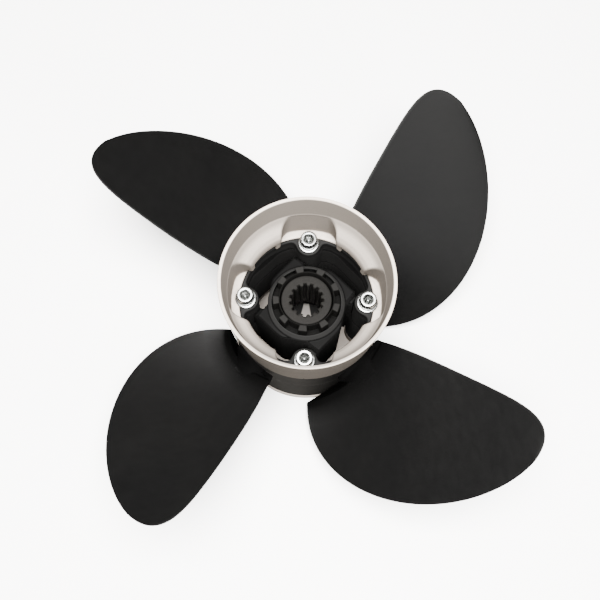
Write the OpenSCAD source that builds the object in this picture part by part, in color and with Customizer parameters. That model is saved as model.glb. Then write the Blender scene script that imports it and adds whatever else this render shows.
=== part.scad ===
// Four-blade outboard propeller with clamped, pitch-adjustable blades.
// Millimetres. The shaft axis is Z, the front hub face lies on z = 0 and
// the rear rim is at the top. Screws sit on the X and Y axes, blades between.

/* [Overall] */
// Diameter over the blade tips
prop_d = 311; // [304:1:318]
// Length of the hub from the front face to the rear rim
hub_len = 117; // [115:0.5:120]

/* [Rear ring] */
// Outside diameter of the rear rim
rim_d = 98.2; // [97.6:0.2:99.4]
// Width of the flat rear lip
rim_w = 2; // [1.8:0.1:2.4]
// Width of each screw pocket at its floor
pocket_w = 34; // [33:0.5:34]

/* [Hub] */
// Diameter of the screw circle
screw_circle_d = 72.6; // [72.2:0.1:73]
// Diameter of the exhaust passage
passage_d = 75; // [74:0.5:75.5]
// Height of the blade axes above the front face
axis_z = 42.5; // [42:0.1:43]

/* [Blades] */
// Pitch at the blade root
pitch_root = 335; // [320:5:345]
// Pitch at the blade tip
pitch_tip = 490; // [470:5:500]
// Sweep of the mid-chord line at the root, degrees
sweep_root = -10; // [-11:0.5:-9]
// Sweep of the mid-chord line at the tip, degrees
sweep_tip = 9.5; // [8:0.5:11]
// Half width of the blade in degrees
half_width = 36.5; // [35:0.5:37.5]
// Blade thickness at the root
blade_t = 8; // [7:0.5:9]
// Blade thickness at the tip
tip_t = 2.6; // [2.2:0.1:3.2]

/* [Drive] */
// Number of spline teeth
spline_n = 15; // [13:1:17]
// Spline major diameter
spline_d = 20.6; // [20:0.1:21]
// Outside diameter of the drive sleeve
sleeve_d = 30.2; // [29.8:0.1:30.2]
// Diameter of the plain pilot bore in front of the spline
pilot_d = 23; // [22.6:0.1:23.4]

/* [Hidden] */
$fn = 96;

grey = [0.74, 0.72, 0.69];
black = [0.06, 0.06, 0.065];
charcoal = [0.11, 0.11, 0.115];
zinc = [0.80, 0.81, 0.82];
dark = [0.20, 0.19, 0.19];

rim_r = rim_d / 2;
rim_in = rim_r - rim_w;
ring_z0 = 68;                 // front edge of the rear ring
seat_z = 74;                  // level of the screw seats and the ring ledge
ridge_z = hub_len - 17.5;     // ridge above the lobes
screw_r = screw_circle_d / 2;
pass_r = passage_d / 2;
flat_u = pass_r - 1.3;        // passage flats at the blade roots
spigot_r = 40.2;
barrel_front_r = 46.6;
barrel_rear_r = 45.5;
lip_z = 3;                    // height of the front lip

// blade root
shank_r = 13.5;
flange_r = 17;
socket_u0 = flat_u + 0.9;     // floor of the blind root sockets
flange_u0 = flat_u + 1.1;
flange_u1 = flat_u + 3.5;
pin_u = 42.6;
pin_r = 1.5;
tip_r = prop_d / 2;
blade_r0 = 49.5;              // radius the blade's laws start from
root_r = 51;                  // inner edge of the overhanging blade

function barrel_r(z) = barrel_front_r + (barrel_rear_r - barrel_front_r) * (z - lip_z) / (ring_z0 - lip_z);

// ---------------------------------------------------------------- rear ring
module pocket_plan() {
    // seen from the rear: straight sides, round corners, back wall about the shaft axis
    c = 5.2;
    t = pocket_w / 2 - c;
    back = 45;
    u = sqrt(pow(back - c, 2) - t * t);
    translate([0, -pocket_w / 2]) square([u, pocket_w]);
    for (s = [-1, 1]) translate([u, s * t]) circle(c);
    intersection() {
        circle(back);
        polygon([[0, 0], [2 * u, -2 * t], [2 * u, 2 * t]]);
    }
}

module rear_ring() color(grey) difference() {
    union() {
        rotate_extrude() polygon([
            [spigot_r + 0.05, ring_z0 + 0.1], [45.7, ring_z0 + 0.1], [46.4, ring_z0 + 1],
            [rim_r - 0.1, hub_len - 1.6], [rim_r - 0.1, hub_len - 0.9], [rim_r - 0.6, hub_len - 0.2],
            [rim_r - 1, hub_len], [rim_in + 0.7, hub_len], [rim_in + 0.2, hub_len - 0.3],
            [rim_in, hub_len - 1],
            [45.25, ridge_z + 0.5], [44.9, ridge_z], [43.2, 96], [42.4, 94.8], [39.6, 91.1], [38, 88.7],
            [37.1, 86.7], [36.7, 84.6], [36.7, 82.8], [37.3, 81.7], [spigot_r + 0.05, seat_z + 1]]);
        // feet under the lobe ends
        for (k = [0:3]) for (s = [-1, 1]) rotate(90 * k + s * 29)
            translate([37, -2.2, seat_z + 0.3]) cube([4.5, 4.4, 7]);
    }
    for (k = [0:3]) rotate(90 * k) translate([0, 0, seat_z]) linear_extrude(ridge_z - 0.6 - seat_z) pocket_plan();
    // slots for the root pins
    for (k = [0:3]) rotate(45 + 90 * k)
        translate([pin_u - 1.75, -1.8, ring_z0 - 1]) cube([3.5, 3.6, 7]);
    // index tick on the front edge
    rotate(-90) translate([45.2, -0.4, ring_z0 - 1]) cube([3, 0.8, 4]);
}

// ---------------------------------------------------------------- hub halves
module passage() intersection() {
    circle(pass_r);
    rotate(45) square(2 * flat_u, center = true);
}

module sockets() for (k = [0:3]) rotate(45 + 90 * k) translate([0, 0, axis_z]) rotate([0, 90, 0]) {
    translate([0, 0, socket_u0]) cylinder(r = flange_r + 0.1, h = flange_u1 + 0.65 - socket_u0);
    translate([0, 0, socket_u0]) cylinder(r = shank_r + 0.05, h = 20);
}

module screw_holes() for (k = [0:3]) rotate(90 * k) translate([screw_r, 0, -1]) cylinder(r = 3.3, h = 90);

module hub_rear() color(black) difference() {
    union() {
        difference() {
            rotate_extrude() polygon([[20, axis_z], [barrel_r(axis_z), axis_z], [barrel_rear_r, ring_z0],
                [spigot_r, ring_z0], [spigot_r, seat_z], [20, seat_z]]);
            translate([0, 0, axis_z - 1]) linear_extrude(63 - axis_z) passage();
            translate([0, 0, axis_z - 1]) cylinder(r = 36, h = 40);
            translate([0, 0, 61.9]) cylinder(r1 = pass_r, r2 = 38.5, h = 2);
            translate([0, 0, 63.8]) cylinder(r = 38.5, h = 20);
        }
        intersection() {
            for (k = [0:3]) rotate(90 * k) translate([screw_r, 0, axis_z]) cylinder(r = 7.4, h = seat_z - axis_z);
            cylinder(r = spigot_r, h = 100);
        }
    }
    sockets();
    screw_holes();
    // windows for the root pins
    for (k = [0:3]) rotate(45 + 90 * k) translate([pin_u - 1.7, -3.7, axis_z + 10]) cube([3.4, 7.4, 40]);
    // pitch scale below the index tick
    rotate(-90) for (i = [-2:2]) rotate(1.3 * i)
        translate([45, -0.2, ring_z0 - (i == 0 ? 4 : 2.8)]) cube([2, 0.4, 3]);
}

module vane() {
    // leaves the tube along its tangent, high beside the tube where the narrow corner is filled, lower towards the screw
    a = 52;
    p = [21.6 * cos(a), 21.6 * sin(a)];
    d = [screw_r - p[0], -p[1]];
    translate([p[0], p[1], 1]) rotate(atan2(d[1], d[0])) {
        translate([0, -2.9, 0]) cube([norm(d), 5.8, 61]);
        linear_extrude(67.5) polygon([[0, -2.9], [17, -6.5], [18, -4.2], [18, 2.9], [0, 2.9]]);
    }
}

module hub_front() color(black) difference() {
    union() {
        difference() {
            rotate_extrude() polygon([[20, 8], [43.15, 8], [43.15, lip_z], [barrel_front_r, lip_z],
                [barrel_r(axis_z), axis_z - 0.1], [20, axis_z - 0.1]]);
            translate([0, 0, 0]) linear_extrude(60) passage();
        }
        intersection() {
            for (k = [0:3]) rotate(90 * k) translate([screw_r, 0, 8]) cylinder(r1 = 9.1, r2 = 7.4, h = axis_z - 8.1);
            cylinder(r = 42, h = 100);
        }
        difference() {
            for (k = [0:3]) rotate(90 * k) vane();
            for (k = [0:3]) rotate(90 * k) translate([screw_r, 0, axis_z - 0.1]) cylinder(r = 7.8, h = 60);
            for (k = [0:3]) rotate(90 * k) translate([screw_r, 0, 0]) cylinder(r = 9.8, h = 8.05);
        }
        translate([0, 0, 1]) cylinder(r = 23.2, h = 68.7);
        translate([0, 0, 69.7]) cylinder(r1 = 23.2, r2 = 21.4, h = 2.9);
    }
    sockets();
    screw_holes();
    translate([0, 0, -1]) cylinder(r = 21.55, h = 70.5);
    translate([0, 0, 60]) cylinder(r = 20.9, h = 20);
    translate([0, 0, 10.2]) cylinder(r = 22.4, h = 1.7);
}

module front_ring() color(grey) difference() {
    union() {
        rotate_extrude() polygon([[pass_r, 0], [47.2, 0], [47.8, 0.6], [47.8, 2.3], [47.1, lip_z - 0.05],
            [43, lip_z - 0.05], [43, 7.95], [pass_r, 7.95]]);
        intersection() {
            for (k = [0:3]) rotate(90 * k) translate([screw_r, 0, 0]) cylinder(r1 = 9.4, r2 = 9.1, h = 7.95);
            cylinder(r = 42, h = 100);
        }
    }
    screw_holes();
    for (k = [0:3]) rotate(90 * k) translate([screw_r, 0, -1]) cylinder(r = 5.9, h = 6.3, $fn = 6);
}

// -------------------------------------------------------------------- blades
function span(s) = blade_r0 + (tip_r - blade_r0) * s;
function mid_a(s) = sweep_root + (sweep_tip - sweep_root) * s * s;
function half_a(s) = sqrt(max(0, 1 - s)) * (half_width - 5 * pow(1 - s, 5));
function lead(s) = (pitch_root + (pitch_tip - pitch_root) * s * s) / (2 * PI);
function rad(a) = a * PI / 180;
function level(r, s, a, d) = axis_z + lead(s) * rad(a) + 0.265 * (r - blade_r0)
    + 0.00075 * pow(r - blade_r0, 2) - 5.5 * pow(rad(d), 2);
function thick(s, c) = 1.1 + (blade_t + (tip_t - blade_t) * pow(s, 0.7) - 1.1) * pow(max(0, 1 - c * c), 0.8);
// a point of the blade: radius r, span s, angle a from the blade axis, offset d from mid-chord, half thickness h
function blade_pt(r, s, a, d, h) = let (f = atan2(lead(s), r), t = -h * sin(f))
    [r * cos(a) - t * sin(a), r * sin(a) + t * cos(a), level(r, s, a, d) + h * cos(f)];

module loft(rings, m) {
    n = len(rings);
    pts = [for (q = rings) for (p = q) p];
    sides = [for (i = [0:n - 2]) for (j = [0:m - 1]) let (a = i * m + j, b = i * m + (j + 1) % m, c = a + m, d = b + m)
        each [[a, c, b], [b, c, d]]];
    caps = [for (j = [1:m / 2 - 1]) each (j < m / 2 - 1
        ? [[j, m - j, j + 1], [j + 1, m - j, m - j - 1]] : [[j, m - j, j + 1]])];
    first = concat([[0, m - 1, 1]], caps);
    top = [for (t = first) [t[0] + (n - 1) * m, t[2] + (n - 1) * m, t[1] + (n - 1) * m]];
    polyhedron(points = pts, faces = concat(sides, first, top), convexity = 8);
}

nc = 12;
ns = 20;
module blade_body() {
    s0 = (root_r - blade_r0) / (tip_r - blade_r0);
    loft([for (i = [0:ns]) let (q = i / ns, s = s0 + (0.9985 - s0) * (1 - pow(1 - q, 1.7)), r = span(s), w = half_a(s))
        [for (j = [0:2 * nc - 1]) let (u = j <= nc ? j / nc : 2 - j / nc, c = -cos(180 * u),
            h = (j <= nc ? 0.5 : -0.5) * (j == 0 || j == nc ? 0 : 1) * thick(s, c))
            blade_pt(r, s, mid_a(s) + c * w, c * w, h)]], 2 * nc);
    // neck between the root and the overhanging blade
    loft([for (r = [44, 48.5, 56]) [for (j = [0:15]) let (u = j <= 8 ? j / 8 : 2 - j / 8, c = -cos(180 * u),
            h = (j <= 8 ? 0.5 : -0.5) * blade_t * 1.05 * sqrt(max(0, 1 - c * c)), a = c * 9.3)
            blade_pt(r, 0, a, 0, h)]], 16);
    // thin tab at the inner corner of the trailing edge
    loft([for (r = [46.7, 50.5, 54.5]) [for (j = [0:15]) let (u = j <= 8 ? j / 8 : 2 - j / 8, c = 1 - 2 * u,
            h = -1.3 - (j == 0 || j == 8 ? 0 : j < 8 ? 1 : -1), a = 14.9 + 5.9 * c)
            blade_pt(r, 0, a, a - sweep_root, h)]], 16);
}

module blade() color(charcoal) difference() {
    union() {
        blade_body();
        translate([0, 0, axis_z]) rotate([0, 90, 0]) {
            translate([0, 0, flange_u0]) cylinder(r = flange_r, h = flange_u1 - flange_u0);
            translate([0, 0, flange_u0]) cylinder(r = shank_r, h = 47 - flange_u0);
        }
    }
    translate([pin_u, 0, axis_z + 8]) cylinder(r = pin_r, h = 6);
}
module blade_1() rotate(45) blade();
module blade_2() rotate(135) blade();
module blade_3() rotate(225) blade();
module blade_4() rotate(315) blade();

module root_pin() color(zinc) translate([pin_u, 0, axis_z + 8]) cylinder(r = pin_r, h = ring_z0 + 5.3 - axis_z - 8, $fn = 48);
module root_pin_1() rotate(45) root_pin();
module root_pin_2() rotate(135) root_pin();
module root_pin_3() rotate(225) root_pin();
module root_pin_4() rotate(315) root_pin();

module root_thrust_rings() color(dark) for (k = [0:3]) rotate(45 + 90 * k)
    translate([0, 0, axis_z]) rotate([0, 90, 0]) translate([0, 0, flange_u1 + 0.1]) difference() {
        cylinder(r = flange_r, h = 0.5);
        translate([0, 0, -1]) cylinder(r = shank_r + 0.2, h = 3);
    }

// ----------------------------------------------------------------- fasteners
module at_screws() for (k = [0:3]) rotate(90 * k) translate([screw_r, 0, 0]) children();

module clamp_screws() color(zinc) at_screws() difference() {
    union() {
        translate([0, 0, 0.9]) cylinder(r = 3, h = 77);
        translate([0, 0, 77.25]) cylinder(r = 5, h = 5.4);
        translate([0, 0, 82.65]) cylinder(r1 = 5, r2 = 4.5, h = 0.6);
    }
    translate([0, 0, 80]) cylinder(r = 5 / sqrt(3), h = 5, $fn = 6);
}

module spring_washers() color(zinc) at_screws() difference() {
    translate([0, 0, 75.65]) cylinder(r = 5.3, h = 1.6);
    translate([0, 0, 75]) cylinder(r = 3.1, h = 4);
    rotate(200) translate([0, -0.5, 75]) cube([8, 1, 4]);
}

module flat_washers() color(zinc) at_screws() difference() {
    translate([0, 0, seat_z + 0.05]) cylinder(r = 6.3, h = 1.6);
    translate([0, 0, seat_z - 1]) cylinder(r = 3.2, h = 4);
}

module captive_nuts() color(zinc) at_screws() difference() {
    translate([0, 0, 0.3]) cylinder(r = 10 / sqrt(3), h = 5, $fn = 6);
    translate([0, 0, -1]) cylinder(r = 3, h = 9);
}

// --------------------------------------------------------------------- drive
module spline() intersection() {
    circle(spline_d / 2);
    union() {
        circle(spline_d / 2 - 1.5);
        for (k = [0:spline_n - 1]) rotate(360 / spline_n * k + 1.5)
            polygon([[5, -1.05], [spline_d / 2 + 1, -0.85], [spline_d / 2 + 1, 0.85], [5, 1.05]]);
    }
}

module drive_sleeve() color(dark) difference() {
    translate([0, 0, 32]) cylinder(r = sleeve_d / 2, h = 44.3);
    translate([0, 0, 39]) linear_extrude(60) spline();
    translate([0, 0, 20]) cylinder(r = pilot_d / 2, h = 20);
}

module torsion_bush() color(dark) {
    difference() {
        union() {
            translate([0, 0, 12]) cylinder(r = 21.5, h = 57.4);
            translate([0, 0, 60]) cylinder(r = 20.8, h = 8.6);
        }
        translate([0, 0, 0]) cylinder(r = 15.15, h = 90);
        translate([0, 0, 67.6]) difference() {
            cylinder(r = 30, h = 6);
            translate([0, 0, -1]) cylinder(r = 15.15, h = 9);
        }
    }
    // crown: a thin wall round the sleeve with nine lugs on it
    translate([0, 0, 67]) difference() {
        cylinder(r = 16.7, h = 12.4);
        translate([0, 0, -1]) cylinder(r = 15.95, h = 20);
    }
    for (k = [0:8]) rotate(25 + 40 * k) translate([0, 0, 67]) linear_extrude(12.9)
        polygon([[16.5, -2.1], [20, -2.75], [20, 2.75], [16.5, 2.1]]);
}

module bush_retaining_ring() color(zinc) difference() {
    translate([0, 0, 10.3]) cylinder(r = 22.3, h = 1.5);
    cylinder(r = 19.4, h = 30);
    rotate(90) translate([0, -5, 5]) cube([40, 10, 20]);
}

rear_ring();
hub_rear();
hub_front();
front_ring();
blade_1();
blade_2();
blade_3();
blade_4();
root_pin_1();
root_pin_2();
root_pin_3();
root_pin_4();
root_thrust_rings();
clamp_screws();
spring_washers();
flat_washers();
captive_nuts();
drive_sleeve();
torsion_bush();
bush_retaining_ring();
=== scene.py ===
import math

import bmesh
import bpy
import numpy as np
from mathutils import Matrix


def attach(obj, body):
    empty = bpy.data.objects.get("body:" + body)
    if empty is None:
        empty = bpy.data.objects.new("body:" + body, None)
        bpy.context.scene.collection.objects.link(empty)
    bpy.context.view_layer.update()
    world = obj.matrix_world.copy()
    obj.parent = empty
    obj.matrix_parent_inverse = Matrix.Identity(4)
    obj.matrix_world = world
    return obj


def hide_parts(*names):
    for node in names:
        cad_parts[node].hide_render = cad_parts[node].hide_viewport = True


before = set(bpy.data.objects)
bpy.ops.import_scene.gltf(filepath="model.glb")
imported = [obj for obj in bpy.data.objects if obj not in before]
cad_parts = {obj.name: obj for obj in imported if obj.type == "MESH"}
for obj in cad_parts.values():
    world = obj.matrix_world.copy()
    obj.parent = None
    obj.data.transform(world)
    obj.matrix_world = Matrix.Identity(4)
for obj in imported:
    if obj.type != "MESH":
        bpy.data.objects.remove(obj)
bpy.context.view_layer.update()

MM = 0.001

# ---------------------------------------------------------------------------
# dimensions in millimetres, the same as the CAD part
# ---------------------------------------------------------------------------
HUB_LEN = 117.0
AXIS_Z = 42.5
SCREW_R = 36.3
SEAT_Z = 74.0
RING_Z0 = 68.0
TIP_R = 155.5
BLADE_R0 = 49.5
ROOT_R = 51.0


# ---------------------------------------------------------------------------
# meshes
# ---------------------------------------------------------------------------
def new_mesh(name, verts, quads=None, tris=None):
    """A smooth-shaded mesh from arrays of points in mm and faces."""
    faces = []
    sizes = []
    for arr, n in ((quads, 4), (tris, 3)):
        if arr is not None and len(arr):
            a = np.asarray(arr, dtype=np.int32)
            faces.append(a.ravel())
            sizes.append(np.full(len(a), n, dtype=np.int32))
    loops = np.concatenate(faces)
    size = np.concatenate(sizes)
    me = bpy.data.meshes.new(name)
    me.vertices.add(len(verts))
    me.vertices.foreach_set("co", (np.asarray(verts, dtype=np.float64) * MM).ravel().astype(np.float32))
    me.loops.add(len(loops))
    me.loops.foreach_set("vertex_index", loops)
    me.polygons.add(len(size))
    me.polygons.foreach_set("loop_start", (np.cumsum(size) - size).astype(np.int32))
    me.polygons.foreach_set("use_smooth", np.ones(len(size), dtype=bool))
    me.update(calc_edges=True)
    me.validate()
    return me


def new_object(name, me):
    o = bpy.data.objects.new(name, me)
    bpy.context.scene.collection.objects.link(o)
    return o


def joined(parts):
    """Several (verts, quads, tris) put into one."""
    V, Q, T, n = [], [], [], 0
    for v, q, t in parts:
        V.append(np.asarray(v, dtype=float))
        if q is not None and len(q):
            Q.append(np.asarray(q, dtype=int) + n)
        if t is not None and len(t):
            T.append(np.asarray(t, dtype=int) + n)
        n += len(v)
    return np.concatenate(V), (np.concatenate(Q) if Q else None), (np.concatenate(T) if T else None)


def skin(loops, cap_first=True, cap_last=True, closed=False):
    """Closed loops of equal length, joined in order; caps are fans about their centres."""
    n = len(loops[0])
    V = [np.asarray(l, dtype=float) for l in loops]
    Q = []
    m = len(loops)
    j = np.arange(n)
    j2 = (j + 1) % n
    for i in range(m if closed else m - 1):
        a = i * n
        b = ((i + 1) % m) * n
        Q.append(np.stack([a + j, a + j2, b + j2, b + j], 1))
    T = []
    extra = []
    top = m * n
    if not closed and cap_first:
        extra.append(V[0].mean(0))
        T.append(np.stack([np.full(n, top), j2, j], 1))
        top += 1
    if not closed and cap_last:
        extra.append(V[-1].mean(0))
        a = (m - 1) * n
        T.append(np.stack([np.full(n, top), a + j, a + j2], 1))
    P = np.concatenate(V + ([np.array(extra)] if extra else []))
    return P, np.concatenate(Q), (np.concatenate(T) if T else None)


def lathe(profile, n=96, closed=True):
    """A profile of (r, z) points turned about Z."""
    a = np.linspace(0, 2 * math.pi, n, endpoint=False)
    c, s = np.cos(a), np.sin(a)
    return skin([np.stack([r * c, r * s, np.full(n, z)], 1) for r, z in profile], closed=closed)


def turned(v, deg, at=(0, 0, 0)):
    c, s = math.cos(math.radians(deg)), math.sin(math.radians(deg))
    v = np.asarray(v, dtype=float)
    w = v.copy()
    w[:, 0] = c * v[:, 0] - s * v[:, 1] + at[0]
    w[:, 1] = s * v[:, 0] + c * v[:, 1] + at[1]
    w[:, 2] = v[:, 2] + at[2]
    return w


# ---------------------------------------------------------------------------
# cast and moulded pieces: signed distance fields, meshed on a cylindrical grid
# ---------------------------------------------------------------------------
def smin(a, b, k):
    h = np.maximum(k - np.abs(a - b), 0.0) / k
    return np.minimum(a, b) - h * h * k * 0.25


def smax(a, b, k):
    return -smin(-a, -b, k)


def rounded(points, steps=6):
    """A polygon of (r, z, corner radius) with its corners turned into arcs."""
    out = []
    n = len(points)
    for i in range(n):
        p0, p1, p2 = (np.array(points[(i + d) % n][:2], dtype=float) for d in (-1, 0, 1))
        rad = points[i][2]
        if rad <= 0:
            out.append(p1)
            continue
        d1, d2 = p0 - p1, p2 - p1
        l1, l2 = np.linalg.norm(d1), np.linalg.norm(d2)
        d1, d2 = d1 / l1, d2 / l2
        half = 0.5 * math.acos(float(np.clip(d1 @ d2, -1, 1)))
        t = min(rad / math.tan(half), 0.49 * l1, 0.49 * l2)
        rad = t * math.tan(half)
        b = (d1 + d2) / np.linalg.norm(d1 + d2)
        c = p1 + b * rad / math.sin(half)
        a1 = p1 + d1 * t - c
        a2 = p1 + d2 * t - c
        w = math.acos(float(np.clip(a1 @ a2 / (rad * rad), -1, 1)))
        for k in range(steps + 1):
            f = k / steps
            out.append(c + (math.sin((1 - f) * w) * a1 + math.sin(f * w) * a2) / math.sin(w))
    return np.array(out)


def sd_polygon(r, z, P):
    d = np.full(np.broadcast(r, z).shape, 1e9)
    s = np.ones(d.shape)
    n = len(P)
    for i in range(n):
        vi, vj = P[i], P[i - 1]
        e = vj - vi
        wr, wz = r - vi[0], z - vi[1]
        t = np.clip((wr * e[0] + wz * e[1]) / (e @ e), 0, 1)
        d = np.minimum(d, (wr - e[0] * t) ** 2 + (wz - e[1] * t) ** 2)
        c1, c2, c3 = z >= vi[1], z < vj[1], e[0] * wz > e[1] * wr
        s = np.where((c1 & c2 & c3) | (~c1 & ~c2 & ~c3), -s, s)
    return s * np.sqrt(d)


class Profile:
    """Signed distance to a profile in (r, z), read from a fine table."""

    def __init__(self, points, pad=4.0, h=0.08):
        P = rounded(points)
        self.h = h
        self.lo = P.min(0) - pad
        self.n = np.ceil((P.max(0) + pad - self.lo) / h).astype(int) + 1
        r = self.lo[0] + h * np.arange(self.n[0])
        z = self.lo[1] + h * np.arange(self.n[1])
        self.T = sd_polygon(r[:, None], z[None, :], P)

    def __call__(self, r, z):
        a = np.clip((r - self.lo[0]) / self.h, 0, self.n[0] - 1.001)
        b = np.clip((z - self.lo[1]) / self.h, 0, self.n[1] - 1.001)
        i, j = a.astype(int), b.astype(int)
        a, b, T = a - i, b - j, self.T
        return (T[i, j] * (1 - a) + T[i + 1, j] * a) * (1 - b) + (T[i, j + 1] * (1 - a) + T[i + 1, j + 1] * a) * b


def about(x, y, first, count=4):
    """Coordinates (u outward, t sideways) about the nearest of `count` radial axes, the first at `first` degrees."""
    step = 2 * math.pi / count
    a = np.arctan2(y, x) - math.radians(first)
    a = a - step * np.round(a / step)
    r = np.hypot(x, y)
    return r * np.cos(a), r * np.sin(a)


def steps(*spans):
    """Grid positions from (start, stop, step) spans that follow one another."""
    out = []
    for lo, hi, h in spans:
        n = max(1, int(round((hi - lo) / h)))
        out.extend(lo + (hi - lo) * np.arange(n) / n)
    out.append(spans[-1][1])
    return np.array(out)


def mirrored_angles(*spans):
    """Angles for a full turn, in radians, from spans of half a quadrant measured from a screw axis."""
    half = steps(*spans)
    quad = np.concatenate([half, 90 - half[1:-1][::-1]])
    return np.radians(np.concatenate([quad + 90 * k for k in range(4)]))


def net(rs, angles, zs, f, rounds=4):
    """The surface f = 0 as a closed quad mesh: one vertex in each grid cell the surface crosses, moved onto the surface."""
    n0, n1, n2 = len(rs), len(angles), len(zs)
    x = (rs[:, None] * np.cos(angles)[None, :])[:, :, None]
    y = (rs[:, None] * np.sin(angles)[None, :])[:, :, None]
    F = np.broadcast_to(f(x, y, zs[None, None, :]), (n0, n1, n2))
    neg = F < 0
    c0, c1, c2 = n0 - 1, n1, n2 - 1
    cells, fracs, quads = [], [], []

    def cell(i, j, k):
        return (i * c1 + j % c1) * c2 + k

    for axis in range(3):
        if axis == 1:
            G, ng = np.roll(F, -1, 1), np.roll(neg, -1, 1)
            F0, n0_, F1, n1_ = F, neg, G, ng
        else:
            lo = [slice(None)] * 3
            hi = [slice(None)] * 3
            lo[axis], hi[axis] = slice(None, -1), slice(1, None)
            F0, F1, n0_, n1_ = F[tuple(lo)], F[tuple(hi)], neg[tuple(lo)], neg[tuple(hi)]
        i, j, k = np.nonzero(n0_ != n1_)
        f0, f1 = F0[i, j, k], F1[i, j, k]
        t = f0 / (f0 - f1)
        inside_low = n0_[i, j, k]
        corner = []
        for d1, d2 in ((1, 1), (0, 1), (0, 0), (1, 0)):
            if axis == 0:
                ci, fr = cell(i, j - d1, k - d2), (t, np.full_like(t, d1), np.full_like(t, d2))
            elif axis == 1:
                ci, fr = cell(i - d2, j, k - d1), (np.full_like(t, d2), t, np.full_like(t, d1))
            else:
                ci, fr = cell(i - d1, j - d2, k), (np.full_like(t, d1), np.full_like(t, d2), t)
            cells.append(ci)
            fracs.append(np.stack(fr, 1))
            corner.append(ci)
        q = np.stack(corner, 1)
        q[~inside_low] = q[~inside_low][:, ::-1]
        quads.append(q)
    cells = np.concatenate(cells)
    fracs = np.concatenate(fracs)
    used, inv = np.unique(cells, return_inverse=True)
    cnt = np.bincount(inv)
    fr = np.stack([np.bincount(inv, weights=fracs[:, a]) / cnt for a in range(3)], 1)
    ci = used // (c1 * c2)
    cj = (used // c2) % c1
    ck = used % c2
    nxt = np.concatenate([angles[1:], [angles[0] + 2 * math.pi]])
    r = rs[ci] + fr[:, 0] * (rs[ci + 1] - rs[ci])
    a = angles[cj] + fr[:, 1] * (nxt[cj] - angles[cj])
    z = zs[ck] + fr[:, 2] * (zs[ck + 1] - zs[ck])
    P = np.stack([r * np.cos(a), r * np.sin(a), z], 1)
    Q = np.searchsorted(used, np.concatenate(quads))

    def val(p):
        return f(p[:, 0], p[:, 1], p[:, 2])

    e = 0.03
    for _ in range(rounds):
        v = val(P)
        g = np.stack([(val(P + np.eye(3)[d] * e) - val(P - np.eye(3)[d] * e)) / (2 * e) for d in range(3)], 1)
        gg = np.maximum((g * g).sum(1), 0.05)
        step = -(v / gg)[:, None] * g
        ln = np.linalg.norm(step, axis=1)
        P = P + step * np.minimum(1.0, 0.45 / np.maximum(ln, 1e-9))[:, None]
    # vertices of neighbouring cells that fell on one another draw back towards their own cells
    rc, ac, zc = 0.5 * (rs[ci] + rs[ci + 1]), 0.5 * (angles[cj] + nxt[cj]), 0.5 * (zs[ck] + zs[ck + 1])
    home = np.stack([rc * np.cos(ac), rc * np.sin(ac), zc], 1)
    same = np.zeros(len(P), dtype=bool)
    for off in (0.0, 0.0005):
        _, at, cnt = np.unique(np.round(P + off, 3), axis=0, return_inverse=True, return_counts=True)
        same |= (cnt > 1)[at.ravel()]
    P[same] += 0.05 * (home[same] - P[same])
    return P, Q, None


def screw_holes(x, y, z, r=3.3):
    u, t = about(x, y, 0)
    return np.hypot(u - SCREW_R, t) - r


def blade_sockets(x, y, z):
    u, t = about(x, y, 45)
    d = np.sqrt(t * t + (z - AXIS_Z) ** 2)
    return np.maximum(np.minimum(d - 13.55, np.maximum(d - 17.1, u - 40.35)), 37.1 - u)


# --------------------------------------------------------------- rear ring
RING_PROFILE = Profile([
    (40.25, 68.1, 0.3), (45.7, 68.1, 0.35), (46.4, 69.1, 0.8), (49.05, 115.4, 1.2), (49.1, 117, 0.9),
    (47.1, 117, 0.75), (45.25, 100.0, 1.2), (44.9, 99.4, 1.5), (43.0, 95.6, 22.0), (39.2, 90.6, 16.0),
    (37.3, 87.4, 6.5), (36.7, 84.6, 6.5), (36.7, 82.5, 0.7), (37.4, 81.5, 0.5), (40.25, 75.1, 0.4)])


def f_ring(x, y, z):
    r = np.hypot(x, y)
    u, t = about(x, y, 0)
    solid = RING_PROFILE(r, z)
    # feet under the lobe ends
    for at in (29, -29):
        fu, ft = about(x, y, at)
        foot = np.maximum(np.maximum(np.abs(ft) - 2.1, np.maximum(37.05 - fu, fu - 41.4)), np.maximum(74.35 - z, z - 81.0))
        solid = smin(solid, foot + 0.1, 0.9)
    # pockets: cut from the rear, round corners in plan, drafted sides
    cr = 5.2
    qa = r - 45.05 + cr
    qb = np.abs(t) - 17.0 + 0.065 * (z - SEAT_Z) + cr
    plan = np.minimum(np.maximum(qa, qb), 0.0) + np.hypot(np.maximum(qa, 0.0), np.maximum(qb, 0.0)) - cr
    pocket = smax(smax(np.maximum(plan, 20 - u), SEAT_Z - z, 1.3), z - 98.9, 1.0)
    solid = smax(solid, -pocket, 1.1)
    # slots for the root pins, index notch at the front edge
    v, w = about(x, y, 45)
    slot = np.maximum(np.maximum(np.abs(w) - 1.8, np.abs(v - 42.6) - 1.75), z - 74.0)
    solid = smax(solid, -slot, 0.3)
    notch = np.maximum(np.maximum(np.abs(x) - 0.4, y + 45.2), z - 71.0)
    return smax(solid, -notch, 0.2)


def finer(angles, at, span, step):
    """The angles of a turn with those within `span` degrees of `at` set closer together."""
    deg = np.degrees(angles) % 360.0
    keep = deg[np.abs(deg - at) > span + 0.3 * step]
    return np.radians(np.sort(np.concatenate([keep, at + np.arange(-span, span + 0.5 * step, step)])))


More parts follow.
